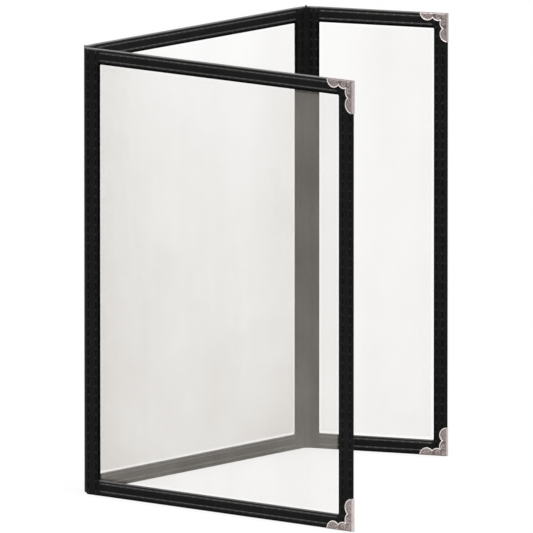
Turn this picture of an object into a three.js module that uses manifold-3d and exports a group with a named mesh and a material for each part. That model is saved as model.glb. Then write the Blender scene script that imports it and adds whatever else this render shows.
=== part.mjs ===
// A three-leaf menu cover that stands open on its lower edges. Each leaf is a flat pocket of
// two clear vinyl sheets bound in black leatherette, open along its top edge, where each
// sheet has a lip of its own. Two narrow spine strips join the leaves, and stamped metal
// corners with a scalloped edge guard the four free corners.
//
// Millimetres, +Z up. The middle leaf stands in the XZ plane with its inside facing -Y, and
// the origin is at the middle of its lower edge.
//
// Every leaf is built in a frame of its own: X runs along its width, Y through its thickness
// and Z up its height.

import * as THREE from 'three';
import { mergeVertices } from 'three/addons/utils/BufferGeometryUtils.js';
import Module from 'manifold-3d';

// Leaves, each measured from its fold line to its free edge or next fold line
const LEAF_HEIGHT = 298.5;
const LEAF_WIDTH = 235;
const FLAP_WIDTH = 99.2;

// Sheet goods and the clearances between them
const PLY = 0.35;
const VINYL = 0.2;
const FIT = 0.15;
const MOUTH = 0.2;
const FOLD_RADIUS = 0.9;

// Widths of the leatherette binding
const LEVEL_BINDING = 10.3;
const COVER_INNER_BINDING = 11.3;
const COVER_FREE_BINDING = 12;
const MIDDLE_LEFT_BINDING = 9.2;
const MIDDLE_RIGHT_BINDING = 7.7;
const FLAP_INNER_BINDING = 6.6;
const FLAP_FREE_BINDING = 9.6;

// Stamped corners, a size larger on the cover than on the flap
const METAL = 0.3;
const METAL_FOLD_RADIUS = 0.75;
const COVER_CORNER_LEG = 21.8;
const FLAP_CORNER_LEG = 19.4;
const RIM_WIDTH = 0.7;
const RIM_HEIGHT = 0.2;

// Each leg ends in a large half-round lobe, with a smaller lobe behind it. These are shares
// of the leg.
const END_LOBE_RADIUS = 0.27;
const INNER_LOBE_RADIUS = 0.254;
const INNER_LOBE_REACH = 0.341;
const INNER_LOBE_RISE = 0.019;

// Ornament stamped within the rim: a shell of ribs in the end lobe, and a scroll round a bead
// in the smaller lobe
const SHELL_RIBS = 5;
const SHELL_EYE = 1.4;
const RIB_WIDTH = 0.6;
const SCROLL_RADIUS = 2;
const SCROLL_OPENING = 1.9;
const BEAD_RADIUS = 0.7;
const ORNAMENT_GAP = 0.6;

// Spine strips, and the room that the leaves leave each other when folded shut
const SPINE_THICKNESS = 1;
const HINGE_CLEARANCE = 0.3;
const SHUT_GAP = 0.45;

// How far each fold line is turned as the cover stands, in degrees
const COVER_FOLD = 43.25;
const FLAP_FOLD = 36.45;

// Steps in a quarter of a folded edge, and in one arc of a scalloped edge
const FOLD_STEPS = 3;
const LOBE_STEPS = 5;

const LIP = 2 * PLY + VINYL + 2 * FIT;
const THICKNESS = 2 * LIP + MOUTH;
const HALF = THICKNESS / 2;
const SHEET_OFFSET = (MOUTH + LIP) / 2;
const CORNER_HALF = HALF + FIT + METAL;
const RIM_HALF = CORNER_HALF + RIM_HEIGHT;
const RELIEF = METAL + FIT;
const LEAF_EDGE = SPINE_THICKNESS / 2 + HINGE_CLEARANCE;
const FLAP_SPINE = HALF + RIM_HALF + SHUT_GAP;
const COVER_SPINE = FLAP_SPINE + HALF + RIM_HALF + SHUT_GAP;

const BLACK = { color: 0x1b1b1b, roughness: 0.55, metalness: 0 };
const CLEAR = { color: 0xeef0ee, roughness: 0.12, metalness: 0, transparent: true, opacity: 0.3 };
const SILVER = { color: 0xa89c9a, roughness: 0.4, metalness: 1 };

const wasm = await Module();
wasm.setup();

// Solids from closed three.js geometry, and back again

function toSolid(geometry) {
  geometry.deleteAttribute('normal');
  geometry.deleteAttribute('uv');
  const merged = mergeVertices(geometry, 1e-5);
  return new wasm.Manifold(new wasm.Mesh({
    numProp: 3,
    vertProperties: new Float32Array(merged.attributes.position.array),
    triVerts: new Uint32Array(merged.index.array),
  }));
}

function toMesh(name, solid, finish) {
  const data = solid.getMesh();
  const geometry = new THREE.BufferGeometry();
  geometry.setAttribute('position', new THREE.BufferAttribute(new Float32Array(data.vertProperties), 3));
  geometry.setIndex(new THREE.BufferAttribute(new Uint32Array(data.triVerts), 1));
  geometry.computeVertexNormals();
  const mesh = new THREE.Mesh(geometry, new THREE.MeshStandardMaterial(finish));
  mesh.name = name;
  return mesh;
}

// Prisms: a profile drawn in X and Y and run up Z, one drawn in Z and Y and run along X, and
// an outline drawn in X and Z and run through the thickness

function extrude(shape, length, steps) {
  return new THREE.ExtrudeGeometry(shape, { depth: length, bevelEnabled: false, curveSegments: steps });
}

function upright(shape, low, high) {
  return toSolid(extrude(shape, high - low, FOLD_STEPS).translate(0, 0, low));
}

function level(shape, left, right) {
  return toSolid(extrude(shape, right - left, FOLD_STEPS).rotateY(-Math.PI / 2).translate(right, 0, 0));
}

function plate(shape, half) {
  return toSolid(extrude(shape, 2 * half, LOBE_STEPS).rotateX(Math.PI / 2).translate(0, half, 0));
}

function block(left, right, back, front, low, high) {
  const box = new THREE.BoxGeometry(right - left, front - back, high - low);
  return toSolid(box.translate((left + right) / 2, (back + front) / 2, (low + high) / 2));
}

// Profile of folded material: a strip from start to end, with the named ends rounded over
function foldedProfile(start, end, half, radius, roundStart, roundEnd) {
  const shape = new THREE.Shape();
  const quarter = Math.PI / 2;
  if (roundStart) {
    shape.absarc(start + radius, radius - half, radius, -2 * quarter, -quarter);
  } else {
    shape.moveTo(start, -half);
  }
  if (roundEnd) {
    shape.lineTo(end - radius, -half);
    shape.absarc(end - radius, radius - half, radius, -quarter, 0);
    shape.absarc(end - radius, half - radius, radius, 0, quarter);
  } else {
    shape.lineTo(end, -half);
    shape.lineTo(end, half);
  }
  if (roundStart) {
    shape.absarc(start + radius, half - radius, radius, quarter, 2 * quarter);
  } else {
    shape.lineTo(start, half);
  }
  return shape;
}

// A slab whose chosen edges are all folded over at one radius
function foldedSlab(box, half, radius, rounded) {
  const plan = foldedProfile(box.left, box.right, half, radius, rounded.left, rounded.right);
  const side = foldedProfile(box.low, box.high, half, radius, rounded.low, rounded.high);
  return upright(plan, box.low, box.high).intersect(level(side, box.left, box.right));
}

// Where the metal corner's edge walls lie, the binding is cut back so that they sit flush
function cornerRelief(leaf, atTop) {
  const width = leaf.right;
  const reach = leaf.cornerLeg + FIT;
  const outer = width + 1;
  const endLow = atTop ? LEAF_HEIGHT - RELIEF : -1;
  const endHigh = atTop ? LEAF_HEIGHT + 1 : RELIEF;
  const sideLow = atTop ? LEAF_HEIGHT - reach : -1;
  const sideHigh = atTop ? LEAF_HEIGHT + 1 : reach;
  const end = block(width - reach, outer, -THICKNESS, THICKNESS, endLow, endHigh);
  const side = block(width - RELIEF, outer, -THICKNESS, THICKNESS, sideLow, sideHigh);
  return end.add(side);
}

function relieve(solid, leaf, corners) {
  let cut = solid;
  for (const atTop of leaf.cornerLeg ? corners : []) {
    cut = cut.subtract(cornerRelief(leaf, atTop));
  }
  return cut;
}

// Side binding: leatherette folded round the pocket's edge, with its ends turned in
function sideBinding(leaf, atRight) {
  const band = {
    left: atRight ? leaf.right - leaf.rightBinding : leaf.left,
    right: atRight ? leaf.right : leaf.left + leaf.leftBinding,
    low: 0,
    high: LEAF_HEIGHT,
  };
  const folded = { left: !atRight, right: atRight, low: true, high: true };
  const outer = foldedSlab(band, HALF, FOLD_RADIUS, folded);
  const inside = block(
    atRight ? band.left - 1 : band.left + PLY,
    atRight ? band.right - PLY : band.right + 1,
    PLY - HALF,
    HALF - PLY,
    PLY,
    LEAF_HEIGHT - PLY,
  );
  const channel = outer.subtract(inside);
  return atRight ? relieve(channel, leaf, [true, false]) : channel;
}

// The span between the two side bindings
function levelSpan(leaf) {
  return {
    left: leaf.left + leaf.leftBinding + FIT,
    right: leaf.right - leaf.rightBinding - FIT,
  };
}

// Bottom binding: one fold that closes the pocket
function bottomBinding(leaf) {
  const span = levelSpan(leaf);
  const outer = foldedProfile(0, LEVEL_BINDING, HALF, FOLD_RADIUS, true, false);
  const inside = block(span.left - 1, span.right + 1, PLY - HALF, HALF - PLY, PLY, LEVEL_BINDING + 1);
  return relieve(level(outer, span.left, span.right).subtract(inside), leaf, [false]);
}

// Top lip: a narrow fold over the upper edge of one sheet. The gap between the two lips is
// the mouth that cards are slid in through.
function topLip(leaf, side) {
  const span = levelSpan(leaf);
  const radius = LIP / 2;
  const low = LEAF_HEIGHT - LEVEL_BINDING;
  const outer = foldedProfile(low, LEAF_HEIGHT, LIP / 2, radius, false, true);
  const slot = VINYL / 2 + FIT;
  const inside = block(span.left - 1, span.right + 1, -slot, slot, low - 1, LEAF_HEIGHT - PLY);
  const lip = level(outer, span.left, span.right).subtract(inside);
  return relieve(lip.translate([0, side * SHEET_OFFSET, 0]), leaf, [true]);
}

// Clear sheet: reaches into the bindings on all four sides
function vinylSheet(leaf, side) {
  const margin = PLY + FIT;
  const middle = side * SHEET_OFFSET;
  return block(
    leaf.left + margin,
    leaf.right - margin,
    middle - VINYL / 2,
    middle + VINYL / 2,
    margin,
    LEAF_HEIGHT - margin,
  );
}

// Outline of a stamped corner, drawn from the corner point along its two edges. Every lobe
// is drawn in by the inset, which gives the inner line of the raised rim.

function lobes(leg, inset) {
  return {
    end: {
      x: leg - END_LOBE_RADIUS * leg,
      y: 0,
      radius: END_LOBE_RADIUS * leg - inset,
    },
    inner: {
      x: INNER_LOBE_REACH * leg,
      y: INNER_LOBE_RISE * leg,
      radius: INNER_LOBE_RADIUS * leg - inset,
    },
  };
}

// The point away from the edge where two circles cross
function crossing(a, b) {
  const gap = Math.hypot(b.x - a.x, b.y - a.y);
  const along = (gap * gap + a.radius * a.radius - b.radius * b.radius) / (2 * gap);
  const across = Math.sqrt(a.radius * a.radius - along * along);
  const ux = (b.x - a.x) / gap;
  const uy = (b.y - a.y) / gap;
  return new THREE.Vector2(a.x + along * ux - across * uy, a.y + along * uy + across * ux);
}

// Where the small lobe meets the diagonal between the two legs
function innerCusp(leg) {
  const lobe = lobes(leg, 0).inner;
  const mean = (lobe.x + lobe.y) / 2;
  const spread = (lobe.x - lobe.y) / 2;
  return mean + Math.sqrt(lobe.radius * lobe.radius / 2 - spread * spread);
}

function angleTo(circle, point) {
  return Math.atan2(point.y - circle.y, point.x - circle.x);
}

function legArcs(leg, inset) {
  const { end, inner } = lobes(leg, inset);
  const cusp = crossing(inner, end);
  const core = innerCusp(leg) - inset;
  const rise = Math.sqrt(inner.radius * inner.radius - (core - inner.x) ** 2);
  const last = new THREE.Vector2(core, inner.y + rise);
  const path = new THREE.Path();
  path.absarc(end.x, end.y, end.radius, 0, angleTo(end, cusp));
  path.absarc(inner.x, inner.y, inner.radius, angleTo(inner, cusp), angleTo(inner, last));
  return path.getPoints(LOBE_STEPS);
}

function cornerOutline(leaf, atTop, inset) {
  const arcs = legArcs(leaf.cornerLeg, inset);
  const core = innerCusp(leaf.cornerLeg) - inset;
  const mirrored = arcs.map((point) => new THREE.Vector2(point.y, point.x)).reverse();
  const around = [new THREE.Vector2(0, 0), ...arcs];
  if (inset > 0) {
    around.push(new THREE.Vector2(core, core));
  }
  around.push(...mirrored.slice(inset > 0 ? 0 : 1));
  return placed(leaf, atTop, around);
}

// Points drawn from the corner point, set on the leaf's own corner
function placed(leaf, atTop, points) {
  const place = (point) => new THREE.Vector2(
    leaf.right - point.x,
    atTop ? LEAF_HEIGHT - point.y : point.y,
  );
  return new THREE.Shape(points.map(place));
}

// One rib of the shell, which widens from the shell's eye towards the rim
function shellRib(leg, angle) {
  const { end } = lobes(leg, RIM_WIDTH + ORNAMENT_GAP);
  const corner = (reach, aside) => new THREE.Vector2(
    end.x + reach * Math.cos(angle) - aside * Math.sin(angle),
    end.y + reach * Math.sin(angle) + aside * Math.cos(angle),
  );
  const half = RIB_WIDTH / 2;
  return [
    corner(SHELL_EYE, -half / 2),
    corner(end.radius, -half),
    corner(end.radius, half),
    corner(SHELL_EYE, half / 2),
  ];
}

// The middle of the scroll, which leaves the same gap to the rim as the ribs do
function scrollCentre(leg) {
  const { inner } = lobes(leg, RIM_WIDTH + ORNAMENT_GAP);
  return { x: inner.x, y: inner.y + inner.radius - SCROLL_RADIUS };
}

// The scroll: a ring that is open towards the leaf's edge
function scrollRing(leg) {
  const { x, y } = scrollCentre(leg);
  const start = (SCROLL_OPENING - Math.PI) / 2;
  const end = Math.PI - start;
  const path = new THREE.Path();
  path.absarc(x, y, SCROLL_RADIUS, start, end, false);
  path.absarc(x, y, SCROLL_RADIUS - RIB_WIDTH, end, start, true);
  return path.getPoints(LOBE_STEPS);
}

function scrollBead(leg) {
  const { x, y } = scrollCentre(leg);
  const path = new THREE.Path();
  path.absarc(x, y, BEAD_RADIUS, 0, 2 * Math.PI, false);
  return path.getPoints(LOBE_STEPS).slice(1);
}

// The ornament of both legs, run through the thickness
function ornament(leaf, atTop) {
  const leg = leaf.cornerLeg;
  const figures = [scrollRing(leg), scrollBead(leg)];
  for (let rib = 1; rib <= SHELL_RIBS; rib += 1) {
    figures.push(shellRib(leg, Math.PI * rib / (SHELL_RIBS + 1)));
  }
  const plates = [];
  for (const figure of figures) {
    const swapped = figure.map((point) => new THREE.Vector2(point.y, point.x));
    plates.push(plate(placed(leaf, atTop, figure), RIM_HALF + 1));
    plates.push(plate(placed(leaf, atTop, swapped), RIM_HALF + 1));
  }
  return wasm.Manifold.union(plates);
}

// The corner's edges at the leaf's free side and end, with the other two left open
function cornerBox(leaf, atTop, wall) {
  const reach = leaf.cornerLeg + 1;
  return {
    left: leaf.right - reach,
    right: leaf.right - wall,
    low: atTop ? LEAF_HEIGHT - reach : wall,
    high: atTop ? LEAF_HEIGHT - wall : reach,
  };
}

// Stamped corner: two scalloped plates joined along the leaf's edges by one folded wall,
// with a raised rim along the scallops and a raised ornament within it
function metalCorner(leaf, atTop) {
  const folds = { left: false, right: true, low: !atTop, high: atTop };
  const hull = foldedSlab(cornerBox(leaf, atTop, 0), CORNER_HALF, METAL_FOLD_RADIUS, folds);
  const rimHull = foldedSlab(cornerBox(leaf, atTop, 0), RIM_HALF, METAL_FOLD_RADIUS + RIM_HEIGHT, folds);
  const roomBox = cornerBox(leaf, atTop, METAL);
  const room = foldedSlab(roomBox, CORNER_HALF - METAL, METAL_FOLD_RADIUS - METAL, folds);
  const outline = plate(cornerOutline(leaf, atTop, 0), RIM_HALF);
  const field = plate(cornerOutline(leaf, atTop, RIM_WIDTH), RIM_HALF + 1);
  const sunk = field.subtract(ornament(leaf, atTop));
  const raised = outline.intersect(rimHull).subtract(sunk);
  return outline.intersect(hull).add(raised).subtract(room);
}

// Spine strip: two plies sewn together, with a round edge on each fold line
function spineStrip(width) {
  const round = SPINE_THICKNESS / 2;
  return upright(foldedProfile(-round, width + round, round, round, true, true), 0, LEAF_HEIGHT);
}

// All the pieces of one leaf
function buildLeaf(leaf) {
  const group = new THREE.Group();
  const add = (part, solid, finish) => group.add(toMesh(`${leaf.name}_${part}`, solid, finish));
  add('front_sheet', vinylSheet(leaf, -1), CLEAR);
  add('back_sheet', vinylSheet(leaf, 1), CLEAR);
  add('front_lip', topLip(leaf, -1), BLACK);
  add('back_lip', topLip(leaf, 1), BLACK);
  add('bottom_binding', bottomBinding(leaf), BLACK);
  add('left_binding', sideBinding(leaf, false), BLACK);
  add('right_binding', sideBinding(leaf, true), BLACK);
  if (leaf.cornerLeg) {
    add('top_corner', metalCorner(leaf, true), SILVER);
    add('bottom_corner', metalCorner(leaf, false), SILVER);
  }
  return group;
}

// A leaf hung on the middle leaf by its spine strip. Both fold lines turn by the same angle.
function hangLeaf(leaf, foldLine, heading, stripWidth, stripName, fold) {
  const strip = new THREE.Group();
  strip.position.set(foldLine, 0, 0);
  strip.rotation.z = heading + fold;
  strip.add(toMesh(stripName, spineStrip(stripWidth), BLACK));
  const hung = buildLeaf(leaf);
  hung.position.set(stripWidth, 0, 0);
  hung.rotation.z = fold;
  strip.add(hung);
  return strip;
}

const middleLeaf = {
  name: 'middle',
  left: LEAF_EDGE - LEAF_WIDTH / 2,
  right: LEAF_WIDTH / 2 - LEAF_EDGE,
  leftBinding: MIDDLE_LEFT_BINDING,
  rightBinding: MIDDLE_RIGHT_BINDING,
  cornerLeg: 0,
};

const frontCover = {
  name: 'cover',
  left: LEAF_EDGE,
  right: LEAF_WIDTH,
  leftBinding: COVER_INNER_BINDING,
  rightBinding: COVER_FREE_BINDING,
  cornerLeg: COVER_CORNER_LEG,
};

const sideFlap = {
  name: 'flap',
  left: LEAF_EDGE,
  right: FLAP_WIDTH,
  leftBinding: FLAP_INNER_BINDING,
  rightBinding: FLAP_FREE_BINDING,
  cornerLeg: FLAP_CORNER_LEG,
};

const coverFold = THREE.MathUtils.degToRad(COVER_FOLD);
const flapFold = THREE.MathUtils.degToRad(FLAP_FOLD);

const menuCover = new THREE.Group();
menuCover.add(buildLeaf(middleLeaf));
menuCover.add(hangLeaf(frontCover, -LEAF_WIDTH / 2, Math.PI, COVER_SPINE, 'cover_spine', coverFold));
menuCover.add(hangLeaf(sideFlap, LEAF_WIDTH / 2, 0, FLAP_SPINE, 'flap_spine', -flapFold));

export default menuCover;
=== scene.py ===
import math

import bmesh
import bpy
import numpy as np
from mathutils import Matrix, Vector


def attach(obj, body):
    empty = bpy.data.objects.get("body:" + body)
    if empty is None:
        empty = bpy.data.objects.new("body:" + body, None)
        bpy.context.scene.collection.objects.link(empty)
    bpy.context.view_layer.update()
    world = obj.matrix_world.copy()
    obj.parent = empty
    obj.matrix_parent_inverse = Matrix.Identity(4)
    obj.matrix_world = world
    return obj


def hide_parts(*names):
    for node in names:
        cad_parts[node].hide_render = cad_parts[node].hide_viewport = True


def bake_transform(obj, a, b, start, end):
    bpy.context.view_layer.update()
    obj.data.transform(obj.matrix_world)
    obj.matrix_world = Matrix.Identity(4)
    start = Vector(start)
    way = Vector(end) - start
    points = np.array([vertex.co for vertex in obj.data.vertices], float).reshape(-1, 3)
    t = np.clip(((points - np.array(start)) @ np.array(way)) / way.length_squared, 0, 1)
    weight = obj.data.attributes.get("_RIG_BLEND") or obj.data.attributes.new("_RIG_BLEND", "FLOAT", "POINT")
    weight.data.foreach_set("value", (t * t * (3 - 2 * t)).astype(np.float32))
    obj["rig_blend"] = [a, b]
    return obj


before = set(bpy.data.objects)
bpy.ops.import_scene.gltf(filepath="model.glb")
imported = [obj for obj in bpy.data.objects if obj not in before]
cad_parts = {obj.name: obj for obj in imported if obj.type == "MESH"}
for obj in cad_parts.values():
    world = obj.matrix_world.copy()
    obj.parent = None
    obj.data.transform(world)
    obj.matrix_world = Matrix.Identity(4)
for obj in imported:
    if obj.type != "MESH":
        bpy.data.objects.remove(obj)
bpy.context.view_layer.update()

# Millimetres and degrees, as in the CAD part. LEAF_EDGE is from a fold line to a leaf, HALF half
# the thickness of a bound edge, and RELIEF the step in a binding under a metal corner
LEAF_HEIGHT = 298.5
LEAF_WIDTH = 235.0
FLAP_WIDTH = 99.2
LEVEL_BINDING = 10.3
LEAF_EDGE = 0.8
HALF = 1.3
COVER_SPINE = 7.4
FLAP_SPINE = 3.7
COVER_FOLD = 43.25
FLAP_FOLD = 36.45
COVER_CORNER_LEG = 21.8
FLAP_CORNER_LEG = 19.4
RELIEF = 0.45


def turn(angle):
    """Unit vector at an angle in degrees."""
    return np.array([math.cos(math.radians(angle)), math.sin(math.radians(angle))])


class Leaf:
    """One leaf: its place in the row frame, its side bindings, with the pocket between, and rows."""

    def __init__(self, name, body, origin, heading, left, right, bindings, rows, corner_leg):
        self.name = name
        self.body = body
        self.origin = np.array(origin, float)
        self.heading = heading
        self.right = right
        self.left_binding, self.right_binding = bindings
        self.low_x = left + self.left_binding
        self.high_x = right - self.right_binding
        self.left_rows, self.right_rows = rows
        self.corner_leg = corner_leg

    def to_world(self, points):
        """Leaf coordinates in millimetres to the row frame in metres."""
        points = np.asarray(points, float)
        along = turn(self.heading)
        across = turn(self.heading + 90)
        flat = self.origin + points[..., :1] * along + points[..., 1:2] * across
        return np.concatenate([flat, points[..., 2:3]], axis=-1) / 1000


COVER_STRIP_HEADING = 180 + COVER_FOLD
FLAP_STRIP_HEADING = -FLAP_FOLD
COVER_HINGE = np.array([-LEAF_WIDTH / 2, 0.0])
FLAP_HINGE = np.array([LEAF_WIDTH / 2, 0.0])
COVER_AXIS = COVER_HINGE + COVER_SPINE * turn(COVER_STRIP_HEADING)
FLAP_AXIS = FLAP_HINGE + FLAP_SPINE * turn(FLAP_STRIP_HEADING)

# Stitch rows are given as distances from the binding's inner edge
MIDDLE = Leaf(
    "middle", "middle_leaf", (0, 0), 0,
    LEAF_EDGE - LEAF_WIDTH / 2, LEAF_WIDTH / 2 - LEAF_EDGE,
    (9.2, 7.7), ((2.2, 6.95), (2.5, 6.3)), 0,
)
COVER = Leaf(
    "cover", "front_cover", COVER_AXIS, 180 + 2 * COVER_FOLD,
    LEAF_EDGE, LEAF_WIDTH,
    (11.3, 12.0), ((2.3, 9.05), (3.8, 10.2)), COVER_CORNER_LEG,
)
FLAP = Leaf(
    "flap", "side_flap", FLAP_AXIS, -2 * FLAP_FOLD,
    LEAF_EDGE, FLAP_WIDTH,
    (6.6, 9.6), ((1.45, 4.9), (1.95, 6.3)), FLAP_CORNER_LEG,
)
LEAVES = [MIDDLE, COVER, FLAP]
TOP_ROWS = (2.65, 7.75)
BOTTOM_ROWS = (1.95, 7.1)


# Mesh helpers

# Distances in metres within which points are one, and edges have no length
SAME_POINT = 8e-6
NO_LENGTH = 2e-6


def smooth(low, high, value):
    """Zero at low, one at high, with a soft start and end; high may be the smaller one."""
    t = np.clip((np.asarray(value, float) - low) / (high - low), 0, 1)
    return t * t * (3 - 2 * t)


def quarter_round(distance, radius):
    """Share of the full size at a distance from a rounded end."""
    return math.sqrt(max(0.0, 1 - max(0.0, 1 - distance / radius) ** 2))


def hump(value, middle, spread, power=2):
    """A soft hump round one value, flatter and steeper with a higher power."""
    return np.exp(-(((value - middle) / spread) ** power))


def thinned(places, least):
    """Places in order, without those that lie too close after another."""
    keep = [places[0]]
    for place in places[1:]:
        if place - keep[-1] > least:
            keep.append(place)
    return np.array(keep)


def add_object(name, data):
    """A new object in the scene."""
    piece = bpy.data.objects.new(name, data)
    bpy.context.scene.collection.objects.link(piece)
    return piece


def make_object(name, points, faces, leaf, attributes, sharp=50):
    """A mesh object from millimetres, in leaf coordinates or, without a leaf, the row frame's."""
    mesh = bpy.data.meshes.new(name)
    world = leaf.to_world(points) if leaf else np.asarray(points, float) / 1000
    mesh.from_pydata(world.tolist(), [], faces)
    for key, values in attributes.items():
        layer = mesh.attributes.new(key, "FLOAT", "POINT")
        layer.data.foreach_set("value", np.asarray(values, np.float32))
    mesh.polygons.foreach_set("use_smooth", [True] * len(mesh.polygons))
    mesh.set_sharp_from_angle(angle=math.radians(sharp))
    return add_object(name, mesh)


def make_loft(name, rings, leaf, worn, flip):
    """A leatherette object through closed rings, with its painted light and shade at each point."""
    rings = np.array(rings)
    faces = loft_faces(rings.shape[0], rings.shape[1], flip)
    return make_object(name, rings.reshape(-1, 3), faces, leaf, {"worn": np.concatenate(worn)})


def loft_faces(stations, ring, flip):
    """Quads between closed rings, with a cap on each end."""
    index = np.arange(stations * ring).reshape(stations, ring)
    here, there = index[:-1], index[1:]
    quads = np.stack([here, np.roll(here, -1, 1), np.roll(there, -1, 1), there], axis=-1)
    faces = quads.reshape(-1, 4).tolist() + [index[0][::-1].tolist(), index[-1].tolist()]
    return [face[::-1] for face in faces] if flip else faces


def grid_quads(index):
    """Quads between the neighbours in a grid of point numbers."""
    corners = [index[:-1, :-1], index[:-1, 1:], index[1:, 1:], index[1:, :-1]]
    return np.stack(corners, axis=-1).reshape(-1, 4)


def tidy_mesh(piece):
    """Joins points that lie on each other, drops collapsed faces and turns all faces outwards."""
    mesh = bmesh.new()
    mesh.from_mesh(piece.data)
    bmesh.ops.remove_doubles(mesh, verts=mesh.verts, dist=SAME_POINT)
    bmesh.ops.dissolve_degenerate(mesh, edges=mesh.edges, dist=NO_LENGTH)
    bmesh.ops.recalc_face_normals(mesh, faces=mesh.faces)
    mesh.to_mesh(piece.data)
    mesh.free()


# Stitch rows, with four stitches to the inch

PITCH = 6.35
STITCH = 5.0
GROOVE_WIDTH = 0.5
GROOVE_DEEP = 0.42
HOLE_DEEP = 0.1
HOLE_WIDTH = 0.4

# How far a groove's end slopes inside and outside its stitch, and a row's end in pitches
SLOPE_INSIDE = 0.3
SLOPE_OUTSIDE = 0.25
ROW_END = 0.1

# From the end of a side binding to its rows, and how far level bindings reach under side bindings
ROW_MARGIN = 1.2
TUCK = 1.0

# Where rings stand within a pitch and near an end, and the least distance between two
RING_PHASES = np.array([0.0, 0.42, 0.7, 1.0, 1.9, 3.2, 4.5, 5.35, 5.65, 5.93])
RING_ENDS = np.array([0, 0.06, 0.2, 0.45, 0.8, 1.25])
RING_LEAST = 0.05

# The same across a binding: from its inner edge, and on both sides of a row
ACROSS_EDGE = (0.0, 0.12, 0.5, 1.0)
ACROSS_ROW = (0, 0.34, 0.52, 0.75, 1.1)
ACROSS_LEAST = 0.1


def stitch_span(low, high):
    """First needle hole and number of stitches between two ends."""
    count = int((high - low) // PITCH)
    return (low + high - count * PITCH) / 2, count


def groove_depth(along, low, high):
    """Depth of a stitch row along it: deep under stitches, deepest in their holes."""
    first, count = stitch_span(low, high)
    place = (along - first) / PITCH
    phase = (place - np.floor(place)) * PITCH
    from_middle = np.abs(phase - PITCH / 2)
    dash = 1 - smooth(STITCH / 2 - SLOPE_INSIDE, STITCH / 2 + SLOPE_OUTSIDE, from_middle)
    depth = GROOVE_DEEP * dash + HOLE_DEEP * hump(from_middle, STITCH / 2, HOLE_WIDTH)
    begun = smooth(-ROW_END, ROW_END, place)
    ended = smooth(count - ROW_END, count + ROW_END, place)
    return depth * (begun * (1 - ended))


def stations_along(low, high, extra):
    """Places for the rings of a binding, closest where stitches begin and end."""
    first, count = stitch_span(low + ROW_MARGIN, high - ROW_MARGIN)
    inner = (first + np.arange(-1, count + 1)[:, None] * PITCH + RING_PHASES).ravel()
    places = np.concatenate([inner, low + RING_ENDS, high - RING_ENDS, list(extra)])
    places = np.unique(places[(places >= low) & (places <= high)].round(4))
    keep = thinned(places, RING_LEAST)
    keep[-1] = places[-1]
    return keep


def across_samples(width, rows, fold):
    """Places across a binding's face, from its inner edge to where the fold begins."""
    face = width - fold
    places = [*ACROSS_EDGE, (rows[0] + rows[1]) / 2, face]
    for row in rows:
        for step in ACROSS_ROW:
            places += [row - step, row + step]
    places = np.unique(np.round([p for p in places if 0 <= p <= face], 4))
    return thinned(places, ACROSS_LEAST)


# Bindings

# Half thicknesses of the level bindings, of a side binding that runs over them and of its end
LEVEL_HALF = HALF - 0.06
CROSS_HALF = 1.36
END_HALF = 0.25

# The padded face rises over this width from its inner edge, and its middle swells
FACE_RISE = 2.0
FACE_SWELL = 0.07

# A sheet's stand from the middle plane where it is sewn, what the open pocket adds and how far
# in, and the stand at the mouth, with where that begins and ends below the leaf's top
SEWN_STAND = 0.36
POCKET_RISE = 0.36
POCKET_REACH = 28
MOUTH_STAND = 0.48
MOUTH_SPAN = (45, 12)

# The ply outside the sheet at a binding's and a lip's inner edge, and the notch for the sheets
PLY = 0.42
LIP_PLY = 0.25
NOTCH = 1.2
NOTCH_ROOM = 0.13
NOTCH_WALL = 0.12
NOTCH_LEAST = 0.05

# From a metal corner to the step in a binding, half that step's slope, and where a side binding
# steps over the level bindings' inner edge
CORNER_GAP = 0.15
STEP_SLOPE = 0.1
CROSS_SPAN = (-0.3, 1.2)
CROSS_RINGS = 4

# The round end of a side binding, the cut of a free outer corner as depth and length, the cut of
# the cover's foot, and the folds
END_ROUND = 1.25
FREE_CUT = (0.4, 0.6)
FOOT_CUT = 0.9
SIDE_FOLD = 1.15
FOLD_ANGLES = np.radians([-62, -36, -12, 12, 36, 62])
LIP_ROUND = 0.85
LIP_ANGLES = np.radians([18, 36, 54, 72, 90, 112, 140])
LIP_BACK = 0.1

# Painted tones go from -1, painted shade in gaps and under edges, to 1, a painted highlight on upper edges:
# the painted highlight between the stitches of upright rows and along level rows, the stretch in which level
# rows begin, and how far out the faces are
GAP_SHEEN = 0.09
GAP_SPREAD = 0.5
ROW_SHEEN = 0.6
ROW_SPREAD = 0.45
ROW_BEGINS = (1.6, 3.2)
SIDE_FACE = 0.9
LIP_FACE = 0.6

# Where the painted light changes, in distances from an edge or, for ROW_CLEAR, from a row: the lit
# stretches are painted highlights, the gap and shade stretches painted shade
TOP_END_LIT = (0.1, 1.3)
INNER_SHADE = 0.9
BOTTOM_LIT = (0.15, 0.7)
BOTTOM_GAP = (0.6, 0.8)
BOTTOM_NOTCH = 0.6
TOP_LIT = (1.0, 0.1)
TOP_GAP = (0.9, 1.2)
TOP_SHADE = (1.1, 1.8)
ROW_CLEAR = (0.6, 0.8)


def face_height(across, depth, rows, edge, full, width):
    """How far a binding's face stands from the leaf's middle plane."""
    rise = smooth(0, FACE_RISE, across)
    swell = FACE_SWELL * np.sin(math.pi * np.clip(across / width, 0, 1))
    height = edge + (full - edge) * rise + swell * rise
    for row in rows:
        height = height - depth * hump(across, row, GROOVE_WIDTH, 4)
    return height


def sheet_stand(leaf, x, z):
    """How far each sheet stands from the leaf's middle plane: little where the pocket is sewn."""
    open_side = smooth(0, POCKET_REACH, np.minimum(x - leaf.low_x, leaf.high_x - x))
    open_base = smooth(0, POCKET_REACH, z - LEVEL_BINDING)
    stand = SEWN_STAND + POCKET_RISE * open_side * open_base
    return stand + (MOUTH_STAND - stand) * smooth(*MOUTH_SPAN, LEAF_HEIGHT - z)


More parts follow.
